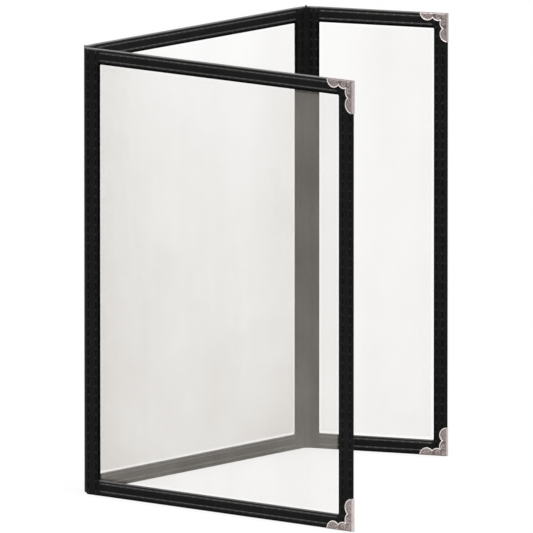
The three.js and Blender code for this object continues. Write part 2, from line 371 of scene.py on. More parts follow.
def crossing(z):
    """One where a side binding runs over the level bindings, and zero between them."""
    low, high = np.add(LEVEL_BINDING, CROSS_SPAN)
    return (1 - smooth(low, high, z)) + smooth(LEAF_HEIGHT - high, LEAF_HEIGHT - low, z)


class Side:
    """What a side binding and its thread share."""

    def __init__(self, leaf, word):
        at_right = word == "right"
        self.leaf = leaf
        self.width = leaf.right_binding if at_right else leaf.left_binding
        self.rows = leaf.right_rows if at_right else leaf.left_rows
        self.sign = 1 if at_right else -1
        self.inner_x = leaf.high_x if at_right else leaf.low_x
        self.guarded = bool(leaf.corner_leg and at_right)
        self.low = RELIEF if self.guarded else 0.0
        self.high = LEAF_HEIGHT - self.low
        self.step = leaf.corner_leg + CORNER_GAP

    def stand(self, z):
        """How far the sheets stand from the middle plane at the inner edge."""
        return float(sheet_stand(self.leaf, self.inner_x, z))

    def edge(self, z):
        """Half thickness at the inner edge, which steps over the level bindings."""
        pinched = self.stand(z) + PLY
        return pinched + (CROSS_HALF - pinched) * float(crossing(z))

    def cut(self, z):
        """How far the outer edge is cut back: under a metal corner, or at a free corner."""
        from_end = min(z, LEAF_HEIGHT - z)
        if self.guarded:
            return RELIEF if from_end < self.step else 0.0
        at_foot = self.leaf is COVER and z < LEAF_HEIGHT / 2
        depth, length = (FOOT_CUT, FOOT_CUT) if at_foot else FREE_CUT
        return depth * (1 - quarter_round(from_end, length))


class Level:
    """What the top and bottom bindings share: their rings along x, and their rows' painted highlight."""

    def __init__(self, leaf, rows, fold):
        start, end = leaf.low_x - TUCK, leaf.high_x + TUCK
        self.step = leaf.right - leaf.corner_leg - CORNER_GAP
        self.guarded = bool(leaf.corner_leg)
        steps = (self.step - STEP_SLOPE, self.step + STEP_SLOPE) if self.guarded else ()
        places = stations_along(start, end, steps)
        depths = groove_depth(places, start + TUCK, end - TUCK)
        sheens = smooth(*ROW_BEGINS, places - start) * smooth(*ROW_BEGINS, end - places)
        self.rings = list(zip(places, depths, ROW_SHEEN * sheens))
        self.rows = rows
        self.across = across_samples(LEVEL_BINDING, rows, fold)

    def face(self, depth, edge):
        """Height of the padded face in one ring."""
        return face_height(self.across, depth, self.rows, edge, LEVEL_HALF, LEVEL_BINDING)

    def drop(self, x):
        """How far the outer edge is cut back under a metal corner."""
        return RELIEF if self.guarded and x > self.step else 0.0


def folded_ring(across, height, outer, slot):
    """Cross-section of a binding that is folded round both sheets, and has a notch for them."""
    squeeze = outer - SIDE_FOLD
    spread = np.minimum(across, squeeze)
    fold_a = squeeze + SIDE_FOLD * np.cos(FOLD_ANGLES)
    fold_v = height[-1] * np.sin(FOLD_ANGLES)
    a = np.concatenate([spread, fold_a, spread[::-1], [0, NOTCH, NOTCH, 0]])
    v = np.concatenate([-height, fold_v, height[::-1], [slot, slot, -slot, -slot]])
    return a, v


def side_binding(leaf, word):
    """A side binding: two padded faces and a round fold, with a notch that takes the sheets."""
    side = Side(leaf, word)
    extra = [*(LEVEL_BINDING + np.linspace(*CROSS_SPAN, CROSS_RINGS))]
    if side.guarded:
        extra += [side.step - STEP_SLOPE, side.step + STEP_SLOPE]
    places = stations_along(side.low, side.high, [*extra, *(LEAF_HEIGHT - z for z in extra)])
    depths = groove_depth(places, side.low + ROW_MARGIN, side.high - ROW_MARGIN)
    across = across_samples(side.width, side.rows, SIDE_FOLD)
    rings, worn = [], []
    for z, depth in zip(places, depths):
        height = face_height(across, depth, side.rows, side.edge(z), HALF, side.width)
        close = quarter_round(min(z - side.low, side.high - z), END_ROUND)
        height = END_HALF + (height - END_HALF) * close
        slot = max(min(side.stand(z) + NOTCH_ROOM, height[0] - NOTCH_WALL), NOTCH_LEAST)
        a, v = folded_ring(across, height, side.width - side.cut(z), slot)
        rings.append(np.stack([side.inner_x + side.sign * a, v, np.full(len(a), z)], axis=-1))
        # Painted light: a paler upper end and paler leatherette between the stitches as painted highlights,
        # and painted shade along the inner edge except where it runs over the level bindings
        lit = np.full(len(a), float(1 - smooth(*TOP_END_LIT, side.high - z)))
        for row in side.rows:
            sheen = GAP_SHEEN * (1 - depth / GROOVE_DEEP) * hump(a, row, GAP_SPREAD)
            lit = np.maximum(lit, sheen * (np.abs(v) > SIDE_FACE))
        worn.append(np.where(a < INNER_SHADE, lit - 1 + float(crossing(z)), lit))
    return make_loft(f"{leaf.name}_{word}_side", rings, leaf, worn, word == "left")


def bottom_side(leaf):
    """The bottom binding: one fold round both sheets, its ends tucked under the side bindings."""
    level = Level(leaf, BOTTOM_ROWS, SIDE_FOLD)
    rings, worn = [], []
    for x, depth, sheen in level.rings:
        stand = float(sheet_stand(leaf, x, LEVEL_BINDING))
        outer = LEVEL_BINDING - level.drop(x)
        a, v = folded_ring(level.across, level.face(depth, stand + PLY), outer, stand + NOTCH_ROOM)
        rings.append(np.stack([np.full(len(a), x), v, LEVEL_BINDING - a], axis=-1))
        # Painted light: a painted highlight along the inner edge and the rows, painted shade in the gap
        # before the first row and all round the fold
        spread = a[:len(level.across)]
        row_near = smooth(BOTTOM_ROWS[0] - ROW_CLEAR[1], BOTTOM_ROWS[0] - ROW_CLEAR[0], spread)
        face = 1 - smooth(*BOTTOM_LIT, spread) - smooth(*BOTTOM_GAP, spread) * (1 - row_near)
        for row in BOTTOM_ROWS:
            face = np.maximum(face, sheen * hump(spread, row, ROW_SPREAD, 4))
        fold = np.full(len(FOLD_ANGLES), -1.0)
        worn.append(np.concatenate([face, fold, face[::-1], np.full(4, BOTTOM_NOTCH)]))
    return make_loft(f"{leaf.name}_bottom_side", rings, leaf, worn, True)


def top_side(leaf, word):
    """A top lip: a fold over the upper edge of one sheet, its ends tucked under the side bindings."""
    side = -1 if word == "front" else 1
    level = Level(leaf, TOP_ROWS, LIP_ROUND)
    slot = MOUTH_STAND + NOTCH_WALL * np.array([-1, -1, 1, 1])
    rings, worn = [], []
    for x, depth, sheen in level.rings:
        height = level.face(depth, MOUTH_STAND + LIP_PLY)
        drop = level.drop(x)
        squeeze = LEVEL_BINDING - drop - LIP_ROUND
        middle = (height[-1] + LIP_BACK) / 2
        half = (height[-1] - LIP_BACK) / 2
        fold_a = squeeze + LIP_ROUND * np.sin(LIP_ANGLES)
        fold_v = middle + half * np.cos(LIP_ANGLES)
        back = np.array([squeeze, squeeze / 2, 0.0])
        a = np.concatenate([np.minimum(level.across, squeeze), fold_a, back, [0, NOTCH, NOTCH, 0]])
        v = np.concatenate([height, fold_v, np.full(len(back), LIP_BACK), slot])
        z = LEAF_HEIGHT - LEVEL_BINDING + a
        rings.append(np.stack([np.full(len(a), x), side * v, z], axis=-1))
        # Painted light: a painted highlight along the rounded top and the rows, painted shade in the gap
        # below the top and along the lip's inner edge
        below = LEAF_HEIGHT - drop - z
        past_row = smooth(TOP_ROWS[1] + ROW_CLEAR[0], TOP_ROWS[1] + ROW_CLEAR[1], a)
        lit = smooth(*TOP_LIT, below) - smooth(*TOP_GAP, below) * past_row
        for row in TOP_ROWS:
            lit = np.maximum(lit, sheen * hump(a, row, ROW_SPREAD, 4) * (v > LIP_FACE))
        worn.append(lit - (1 - smooth(*TOP_SHADE, a)))
    return make_loft(f"{leaf.name}_{word}_top", rings, leaf, worn, side < 0)


# Thread: one rounded stitch in each groove, its ends drawn down into the needle holes

THREAD_RADIUS = 0.26
THREAD_LIFT = 0.08
THREAD_SIDES = 6
THREAD_OVER = 0.2
THREAD_DIP = 0.22
THREAD_SHARES = np.array([-0.5, -0.46, -0.38, -0.2, 0.0, 0.2, 0.38, 0.46, 0.5])

# A stitch's ends stay this blunt, and its level runs have this painted highlight, paler on their upper side
# as painted light from above
THREAD_BLUNT = 1.02
THREAD_TIP = 0.04
THREAD_TONE = 0.4
THREAD_TOP = 0.2


class Thread:
    """All the stitches of a leaf, gathered for one mesh."""

    def __init__(self):
        self.points, self.faces, self.worn = [], [], []
        self.count = 0
        length = STITCH + THREAD_OVER
        self.place = THREAD_SHARES * length
        end = (np.abs(self.place) / (length / 2)) ** 8
        self.sunk = THREAD_DIP * end
        self.radius = THREAD_RADIUS * np.sqrt(np.clip(THREAD_BLUNT - end, THREAD_TIP, 1))
        self.turns = np.arange(THREAD_SIDES) * 2 * math.pi / THREAD_SIDES

    def stitch(self, middle, direction, face, base):
        """Adds a stitch along a direction, on one face, at a height from the leaf's plane."""
        out = np.array([0, face, 0])
        across = np.cross(direction, out)
        centre = middle + self.place[:, None] * direction + out * (base - self.sunk)[:, None]
        ring = np.cos(self.turns)[None, :, None] * out + np.sin(self.turns)[None, :, None] * across
        offsets = ring * self.radius[:, None, None]
        self.points.append((centre[:, None, :] + offsets).reshape(-1, 3))
        # Painted highlight on level runs, paler on the upper side; upright runs get none
        tone = THREAD_TONE + THREAD_TOP * offsets[..., 2] / THREAD_RADIUS
        self.worn.append(tone.ravel() * (direction[2] == 0))
        faces = loft_faces(len(self.place), THREAD_SIDES, False)
        self.faces += [[self.count + k for k in face] for face in faces]
        self.count += len(self.place) * THREAD_SIDES


def stitch_middles(low, high):
    """Middles of the stitches between two ends."""
    first, count = stitch_span(low, high)
    return first + (np.arange(count) + 0.5) * PITCH


def leaf_thread(leaf):
    """The thread in all the stitch rows of a leaf, on both its faces."""
    thread = Thread()
    up = np.array([0.0, 0.0, 1.0])
    along = np.array([1.0, 0.0, 0.0])
    for word in ("left", "right"):
        side = Side(leaf, word)
        for row in side.rows:
            for face in (-1, 1):
                for z in stitch_middles(side.low + ROW_MARGIN, side.high - ROW_MARGIN):
                    height = face_height(row, 0, side.rows, side.edge(z), HALF, side.width)
                    middle = np.array([side.inner_x + side.sign * row, 0.0, z])
                    thread.stitch(middle, up, face, height - GROOVE_DEEP + THREAD_LIFT)
    for rows, inner_z, sense, edge in (
        (BOTTOM_ROWS, LEVEL_BINDING, -1, None),
        (TOP_ROWS, LEAF_HEIGHT - LEVEL_BINDING, 1, MOUTH_STAND + LIP_PLY),
    ):
        for row in rows:
            for face in (-1, 1):
                for x in stitch_middles(leaf.low_x, leaf.high_x):
                    here = edge or float(sheet_stand(leaf, x, LEVEL_BINDING)) + PLY
                    height = face_height(row, 0, rows, here, LEVEL_HALF, LEVEL_BINDING)
                    middle = np.array([x, 0.0, inner_z + sense * row])
                    thread.stitch(middle, along, face, height - GROOVE_DEEP + 2 * THREAD_LIFT)
    worn = {"worn": np.concatenate(thread.worn)}
    points = np.concatenate(thread.points)
    return make_object(f"{leaf.name}_thread", points, thread.faces, leaf, worn, sharp=80)


# Clear sheets

FILM_TUCK = 1.0
FILM_HALF = 0.1

# Grid of the film: places from an edge, where the even part begins, and its columns and rows
FILM_EDGE = np.array([0.0, 1.0, 1.9, 2.5, 3.3, 4.0])
FILM_EVEN = 5
FILM_COLUMN = 4.2
FILM_LEAST_COLUMNS = 24
FILM_ROWS = 66

# Waves of the film: their height, how far in from its edges they are full, the lengths across and
# down the leaf of a short wave and a long one, and how much they bend and shift
WAVE_HIGH = 0.2
WAVE_REACH = 30
SHORT_WAVE = (17, 47)
LONG_WAVE = (31, 90)
WAVE_BEND = 0.8
WAVE_SHIFT = 1.7

# The film is clear in a narrow band beside its bindings, down to a share of its veil, as painted light
# against the bindings' shade on it
CLEAR_BAND = (1.0, 2.2)
CLEAR_SHARE = 0.05
VEIL_LEAST = 0.01


# How milky each film is: evenly, more at the foot with a power as painted shade, in streaks, and more
# in bands from one x to another; and the share that the clear band, painted light, keeps below the lips and
# above the bottom binding
VEILS = {
    "middle": (
        0.014, (0.115, 1.2), (0.004, 11.0, 0.6, 70), [(0.055, -30, -110), (0.02, 40, 100)],
        (CLEAR_SHARE, CLEAR_SHARE),
    ),
    "cover": (0.066, (0.004, 2), (0.003, 9.0, 0.6, 60), [], (0.5, 0.4)),
    "flap": (
        0.018, (0.03, 1.2), (0.003, 6.0, 0.5, 50), [(0.035, 10, 60)], (CLEAR_SHARE, CLEAR_SHARE),
    ),
}

# The cover's film is clearer in one upright band: by how much, where, and from which height on
COVER_CLEARER = 0.025
COVER_BAND = (138, 34)
COVER_BAND_HEIGHT = (20, 200)


def sheet_tone(leaf, x, z):
    """How much veil the film has at each place, less beside a binding as painted light, and more at the foot
    as painted shade.
    """
    even, (foot, power), (streak, pitch, bend, length), bands, shares = VEILS[leaf.name]
    # More veil towards the foot: painted shade
    veil = even + foot * (1 - z / LEAF_HEIGHT) ** power
    for extra, begin, full in bands:
        veil = veil + extra * smooth(begin, full, x)
    veil = veil + streak * np.sin(x / pitch + bend * np.sin(z / length))
    if leaf is COVER:
        veil -= COVER_CLEARER * hump(x, *COVER_BAND) * smooth(*COVER_BAND_HEIGHT, z)
    # Clearer beside the bindings: painted light
    clear = 1.0
    for distance, least in (
        (x - leaf.low_x, CLEAR_SHARE),
        (leaf.high_x - x, CLEAR_SHARE),
        (LEAF_HEIGHT - LEVEL_BINDING - z, shares[0]),
        (z - LEVEL_BINDING, shares[1]),
    ):
        clear = np.minimum(clear, least + (1 - least) * smooth(*CLEAR_BAND, distance))
    return np.clip(veil, VEIL_LEAST, 1) * clear


def film_face(leaf, side, x, z):
    """One clear sheet's outer face, with the soft waves of flexible film."""
    from_side = np.minimum(x - x.min(), x.max() - x)
    from_end = np.minimum(z - z.min(), z.max() - z)
    free = smooth(0, WAVE_REACH, from_side) * smooth(0, WAVE_REACH, from_end)
    shift = WAVE_SHIFT * side + LEAVES.index(leaf)
    bend = WAVE_BEND * np.sin(z / SHORT_WAVE[1] + shift)
    wave = 0.5 * np.sin(x / SHORT_WAVE[0] + shift + bend)
    wave += 0.5 * np.sin(x / LONG_WAVE[0] - z / LONG_WAVE[1] + 2 * shift)
    return side * (sheet_stand(leaf, x, z) + FILM_HALF + WAVE_HIGH * free * wave)


def film_places(low, high, count):
    """Places for the film's grid between two edges, closer near them."""
    even = np.linspace(low + FILM_EVEN, high - FILM_EVEN, count)
    return np.concatenate([low + FILM_EDGE, even, high - FILM_EDGE[::-1]])


def pocket_film(leaf):
    """The two clear sheets of an empty pocket, which cling together, as one closed body."""
    low_x, high_x = leaf.low_x - FILM_TUCK, leaf.high_x + FILM_TUCK
    low_z, high_z = LEVEL_BINDING - FILM_TUCK, LEAF_HEIGHT - LEVEL_BINDING + FILM_TUCK
    columns = max(FILM_LEAST_COLUMNS, int((high_x - low_x) / FILM_COLUMN))
    x, z = np.meshgrid(film_places(low_x, high_x, columns), film_places(low_z, high_z, FILM_ROWS))
    veil = sheet_tone(leaf, x, z).ravel()
    points = [
        np.stack([x, film_face(leaf, side, x, z), z], axis=-1).reshape(-1, 3) for side in (-1, 1)
    ]
    count = x.size
    index = np.arange(count).reshape(x.shape)
    quads = grid_quads(index)
    rim = np.concatenate([index[0, :], index[1:, -1], index[-1, -2::-1], index[-2:0:-1, 0]])
    after = np.roll(rim, -1)
    wall = np.stack([rim, rim + count, after + count, after], axis=-1)
    faces = quads.tolist() + (quads[:, ::-1] + count).tolist() + wall.tolist()
    marks = {"veil": np.concatenate([veil, veil])}
    return make_object(f"{leaf.name}_film", np.concatenate(points), faces, leaf, marks)


# Stamped metal corners, drawn from the corner point along its two edges

# The pattern's leg, and its two lobes as centre along, centre up and radius
PATTERN_LEG = 21.1
END_LOBE = (PATTERN_LEG - 5.7, 0.0, 5.7)
INNER_LOBE = (7.2, 0.4, 5.36)

# Where the outline leaves the corner's diagonal, and where its lobes meet
DIAGONAL = 5.46
CUSP = 10.93
DIAGONAL_COLUMNS = 19
INNER_COLUMNS = 20
END_COLUMNS = 34
OUTLINE_LEAST = 0.02

# The shell of metal: half thickness outside and inside, the fold's radius, and the sheet
METAL_HALF = 1.75
METAL_UNDER = 1.34
METAL_ROUND = 0.75
METAL_SHEET = 0.3
BEND_ANGLES = np.radians([15, 30, 45, 60, 75, 90])
ROW_SHARES = np.concatenate([[1.0, 0.97, 0.93, 0.88, 0.83], np.linspace(0.78, 0.0, 15)])

# Relief: the raised rim, the valley inside it and the field where the ornament may begin
RIM_HIGH = 0.2
RIM_WIDTH = 0.85
VALLEY_DEEP = 0.07
VALLEY = (1.05, 0.22)
FIELD = (0.95, 1.3)
ORNAMENT_HIGH = 0.16

# A shell in the end lobe: its ribs from and to these radii, a ring round them and a boss
SHELL_FROM = 10.9
SHELL_RIBS = 11
RIBS_BEGIN = (0.9, 1.6)
RIBS_END = (3.4, 3.9)
SHELL_RING = (4.15, 0.22)
RING_HIGH = 0.9
SHELL_BOSS = (0.5, 1.0)

# A scroll round a bead in the inner lobe
SCROLL_AT = (7.3, 2.45)
SCROLL_TURN = 2.6 * 1.6
SCROLL_LEAST = 0.15
SCROLL_BEGIN = (0.45, 0.75)
SCROLL_END = (2.0, 2.5)
SCROLL_BEAD = (0.22, 0.5)

# A fan in the corner itself
FAN_AT = (0.7, 0.7)
FAN_RIBS = 12
FAN_BEGIN = (0.7, 1.4)
FAN_END = (3.6, 4.3)
FAN_EDGE = 0.5

# Brightness: the rim's height that is fully bright, the field, its ornament, the fold, and what
# the narrow walls add along the level and the upright edge
RIM_BRIGHT = 0.13
FIELD_SHINE = 0.08
ORNAMENT_SHINE = 0.42
# The fold and the narrow walls carry painted light: the fold paler towards its outer wall, the wall along
# the level edge darker and the one along the upright edge paler
BEND_PAINTED_LIGHT = (0.3, 0.6)
WALL_PAINTED_LIGHT = (-0.55, 0.15)


def corner_outline():
    """Places along a corner's edge, and the height of the scalloped outline above each."""
    first = math.acos((CUSP - END_LOBE[0]) / END_LOBE[2])
    end = END_LOBE[0] + END_LOBE[2] * np.cos(np.linspace(first, 0, END_COLUMNS))
    diagonal = np.linspace(0, DIAGONAL, DIAGONAL_COLUMNS)
    along = np.concatenate([diagonal, np.linspace(DIAGONAL, CUSP, INNER_COLUMNS)[1:], end[1:]])
    height = np.zeros(len(along))
    for centre, up, radius in (END_LOBE, INNER_LOBE):
        part = radius ** 2 - (along - centre) ** 2
        height = np.maximum(height, np.where(part > 0, up + np.sqrt(np.clip(part, 0, None)), 0))
    height = np.where(along < INNER_LOBE[0], np.minimum(along, height), height)
    height[:DIAGONAL_COLUMNS] = diagonal
    return along, height


def inside_distance(x, y):
    """Distance inwards from the scalloped outline."""
    best = np.minimum(DIAGONAL - x, DIAGONAL - y)
    for cx, cy, radius in (END_LOBE, INNER_LOBE):
        best = np.maximum(best, radius - np.hypot(x - cx, y - cy))
        best = np.maximum(best, radius - np.hypot(x - cy, y - cx))
    return best


def polar(x, y, centre):
    """Distance from a centre and angle round it."""
    return np.hypot(x - centre[0], y - centre[1]), np.arctan2(y - centre[1], x - centre[0])


def ribs(radius, wave, begin, end):
    """Ribs that follow a wave, between two radii with soft limits."""
    return (0.5 + 0.5 * wave) * (smooth(*begin, radius) * (1 - smooth(*end, radius)))


def shell_ornament(u, w):
    """Ribs round a boss, with a ring round them."""
    radius, angle = polar(u, w, END_LOBE)
    shell = ribs(radius, np.cos(angle * SHELL_RIBS), RIBS_BEGIN, RIBS_END)
    ring = RING_HIGH * hump(radius, *SHELL_RING)
    return np.maximum(np.maximum(shell, ring), 1 - smooth(*SHELL_BOSS, radius))


def scroll_ornament(u, w):
    """A spiral round a bead."""
    radius, angle = polar(u, w, SCROLL_AT)
    turned = angle - SCROLL_TURN * np.log(np.clip(radius, SCROLL_LEAST, None))
    spiral = ribs(radius, np.cos(turned), SCROLL_BEGIN, SCROLL_END)
    return np.maximum(spiral, 1 - smooth(*SCROLL_BEAD, radius))


def fan_ornament(x, y):
    """Ribs that spread from the corner point."""
    radius, angle = polar(x, y, FAN_AT)
    fan = ribs(radius, -np.cos(FAN_RIBS * angle), FAN_BEGIN, FAN_END)
    return fan * (np.minimum(x, y) > FAN_EDGE)


def relief(x, y):
    """Height of the stamped ornament on a face, and how bright its plating is."""
    depth = inside_distance(x, y)
    rim = RIM_HIGH * np.sin(math.pi * np.clip(depth / RIM_WIDTH, 0, 1)) ** 0.7
    rim = np.maximum(rim, 0) * (depth > 0)
    u, w = np.maximum(x, y), np.minimum(x, y)
    lobes = np.where(u > SHELL_FROM, shell_ornament(u, w), scroll_ornament(u, w))
    ornament = np.maximum(lobes, fan_ornament(x, y)) * smooth(*FIELD, depth)
    height = rim - VALLEY_DEEP * hump(depth, *VALLEY) + ORNAMENT_HIGH * ornament
    shine = np.minimum(rim / RIM_BRIGHT, 1)
    return height, np.maximum(shine, FIELD_SHINE + ORNAMENT_SHINE * ornament)


def skin_rows(along, height, scale, outer):
    """A skin's rows from one outline over the fold to the other: y, v, shine, share of wall."""
    half, radius = (METAL_HALF, METAL_ROUND) if outer else (METAL_UNDER, METAL_ROUND - METAL_SHEET)
    base = np.minimum(height, METAL_ROUND)
    rows = []
    for share in ROW_SHARES:
        y = base + (height - base) * share
        lift, shine = relief(along / scale, y / scale) if outer else (0, 0)
        rows.append((y, half + lift, shine, 0.0))
    for angle in BEND_ANGLES:
        y = np.minimum(METAL_ROUND - radius * math.sin(angle), height)
        v = half - radius * (1 - math.cos(angle))
        # Painted light round the fold
        shine = np.interp(angle, (BEND_ANGLES[0], BEND_ANGLES[-1]), BEND_PAINTED_LIGHT)
        rows.append((y, v, shine, math.sin(angle) ** 4))
    middle = (y, 0.0, BEND_PAINTED_LIGHT[1], 1.0)
    return [(y, -v, shine, wall) for y, v, shine, wall in rows] + [middle] + rows[::-1]


def corner_faces(grid, at_top):
    """Quads of both skins in both halves, and the narrow walls that join the skins."""
    scallops = slice(DIAGONAL_COLUMNS - 1, None)
    faces = []
    for mirrored in (0, 1):
        turned = mirrored + at_top
        for layer in (0, 1):
            quads = grid_quads(grid[mirrored, layer])
            faces += (quads[:, ::-1] if (turned + layer) % 2 else quads).tolist()
        outer, inner = grid[mirrored]
        for edge, sense in (((0, scallops), 0), ((-1, scallops), 1), ((slice(None), -1), 1)):
            near, far = outer[edge], inner[edge]
            wall = np.stack([near[:-1], near[1:], far[1:], far[:-1]], axis=-1)
            faces += (wall if (turned + sense) % 2 else wall[:, ::-1]).tolist()
    return faces


def metal_corner(leaf, word):
    """A stamped corner: two ornamented faces joined by a folded wall along both edges."""
    at_top = word == "top"
    scale = leaf.corner_leg / PATTERN_LEG
    along, height = corner_outline()
    along = along * scale
    height = np.maximum(height * scale, OUTLINE_LEAST)
    skins = [row for outer in (True, False) for row in skin_rows(along, height, scale, outer)]
    points, marks = [], []
    # Each half's wall gets its painted light: darker along the level edge, paler along the upright one
    for mirrored, wall_painted_light in enumerate(WALL_PAINTED_LIGHT):
        for y, v, shine, wall in skins:
            a, b = (y, along) if mirrored else (along, y)
            z = LEAF_HEIGHT - b if at_top else b
            points.append(np.stack([leaf.right - a, np.full_like(along, v), z], axis=-1))
            marks.append(np.full_like(along, shine) + wall * wall_painted_light)
    grid = np.arange(2 * len(skins) * len(along)).reshape(2, 2, -1, len(along))
    piece = make_object(
        f"{leaf.name}_{word}_metal", np.concatenate(points), corner_faces(grid, at_top), leaf,
        {"relief": np.concatenate(marks)}, sharp=40,
    )
    tidy_mesh(piece)
    return piece


# Fold straps: the leatherette between two leaves, in two halves that meet in the strip's middle

# How far the bend reaches from the fold line, how tight it is, how far the strap goes on into the
# leaf, and the number of steps round the bend and of points along the strip
STRAP_BEND = 1.0
STRAP_TENSION = 0.8
STRAP_TAIL = 1.0
BEND_STEPS = 8
STRIP_STEPS = 5

# Half thicknesses: in the leaf's edge, at its very end, and what the strip's middle adds
STRAP_HALF = 0.5
STRAP_THIN = 0.3
STRAP_SWELL = 0.28

# The upper edge, the peak in the strip's middle with its width and how far down it begins, where
# and how strongly the edge has a painted highlight, the round of both ends, and the rings
STRAP_TOP = LEAF_HEIGHT - 0.1
STRAP_PEAK = 0.9
PEAK_WIDTH = 0.9
PEAK_BELOW = 1.6
STRAP_LIT = (1.2, 0.2)
STRAP_PAINTED_HIGHLIGHT = 0.8
STRAP_ROUND = 0.3
STRAP_RINGS = 120
STRAP_LOW_RINGS = [0, 0.08, 0.3]
STRAP_HIGH_RINGS = np.array([1.1, 0.7, 0.3, 0.08, 0])

# Height in metres of the points between which a strap goes over to the next body
BLEND_HEIGHT = 0.15


def strap_path(leaf_heading, hinge, strip_heading, half_width):
    """Middle line of half a strap and its headings: out of a leaf, round the fold and along."""
    leaf_way = turn(leaf_heading)
    strip_way = turn(strip_heading)
    bend = (strip_heading - leaf_heading + 180) % 360 - 180
    pull = STRAP_BEND - STRAP_BEND * STRAP_TENSION
    p0, p1 = hinge - STRAP_BEND * leaf_way, hinge - pull * leaf_way
    p3, p2 = hinge + STRAP_BEND * strip_way, hinge + pull * strip_way
    path, headings = [], []
    for back in (STRAP_TAIL, 0.5 * STRAP_TAIL, 0.0):
        path.append(hinge - (STRAP_BEND + back) * leaf_way)
        headings.append(leaf_heading)
    for k in range(1, BEND_STEPS):
        t = k / BEND_STEPS
        s = 1 - t
        path.append(s ** 3 * p0 + 3 * s ** 2 * t * p1 + 3 * s * t * t * p2 + t ** 3 * p3)
        headings.append(leaf_heading + bend * float(smooth(0, 1, t)))
    for place in np.linspace(STRAP_BEND, half_width, STRIP_STEPS):
        path.append(hinge + place * strip_way)
        headings.append(strip_heading)
    return np.array(path), headings


def fold_strap(leaf, word, body, leaf_heading, hinge, strip_heading, half_width, foot):
    """Half a strap, which goes over from a leaf's body to the strip's, its foot cut back."""
    path, headings = strap_path(leaf_heading, hinge, strip_heading, half_width)
    half = np.full(len(path), STRAP_HALF)
    half[-STRIP_STEPS:] += STRAP_SWELL * np.linspace(0, 1, STRIP_STEPS)
    half[0] = STRAP_THIN
    across = np.array([turn(h + 90) for h in headings])
    front = path - across * half[:, None]
    back = (path + across * half[:, None])[::-1]
    loop = np.concatenate([front, back])
    middle = np.concatenate([path, path[::-1]])
    on_strip = np.arange(len(path)) >= len(path) - STRIP_STEPS
    on_strip = np.concatenate([on_strip, on_strip[::-1]])
    along = np.where(on_strip, np.linalg.norm(middle - hinge, axis=1) / half_width, 0)
    peak = STRAP_PEAK * smooth(1 - PEAK_WIDTH / half_width, 1.0, along)
    even = np.linspace(1, STRAP_TOP - PEAK_BELOW, STRAP_RINGS)
    rings, worn = [], []
    for z in np.concatenate([STRAP_LOW_RINGS, even, STRAP_TOP - STRAP_HIGH_RINGS]):
        shrink = quarter_round(min(z, STRAP_TOP - z), STRAP_ROUND) * 0.5 + 0.5
        height = z + peak * float(smooth(STRAP_TOP - PEAK_BELOW, STRAP_TOP, z))
        height = height + foot * (1 - float(smooth(0, 2 * FOOT_CUT, z)))
        rings.append(np.concatenate([middle + (loop - middle) * shrink, height[:, None]], axis=1))
        # Painted highlight along the upper edge, none on the peak
        lit = float(smooth(*STRAP_LIT, STRAP_TOP - z))
        worn.append((1 - peak / STRAP_PEAK) * lit * STRAP_PAINTED_HIGHLIGHT)
    piece = make_loft(f"{leaf.name}_strap_{word}", rings, None, worn, False)
    tidy_mesh(piece)
    start = (*(hinge - STRAP_BEND * turn(leaf_heading)) / 1000, BLEND_HEIGHT)
    end = (*(hinge + STRAP_BEND * turn(strip_heading)) / 1000, BLEND_HEIGHT)
    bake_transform(piece, body, f"{leaf.name}_strip", start=start, end=end)
    return piece


# Materials

# Nearly all of a noise texture's values lie between these
NOISE = (0.3, 0.7)

# The darkest leatherette colour is painted shade, and the palest leatherette and thread colours are painted
# highlights; the leatherette's and thread's dark and pale pairs are their own mottle and twist
LEATHER_PAINTED_SHADE = (0.0005, 0.0005, 0.0005)
LEATHER_DARK = (0.0082, 0.0082, 0.0083)
LEATHER_PALE = (0.0134, 0.0134, 0.0135)
LEATHER_PAINTED_HIGHLIGHT = (0.21, 0.21, 0.205)
THREAD_DARK = (0.0012, 0.0012, 0.0013)
THREAD_PALE = (0.0035, 0.0035, 0.0036)
THREAD_PAINTED_HIGHLIGHT = (0.2, 0.2, 0.195)
FILM_DARK = (0.67, 0.625, 0.565)
FILM_PALE = (0.71, 0.665, 0.605)
METAL_DARK = (0.22, 0.165, 0.155)
METAL_PALE = (1.0, 0.92, 0.9)

# Depths of the bump in metres
LEATHER_BUMP = 0.00012
THREAD_BUMP = 0.00008
FILM_BUMP = 0.002
METAL_BUMP = 0.00008


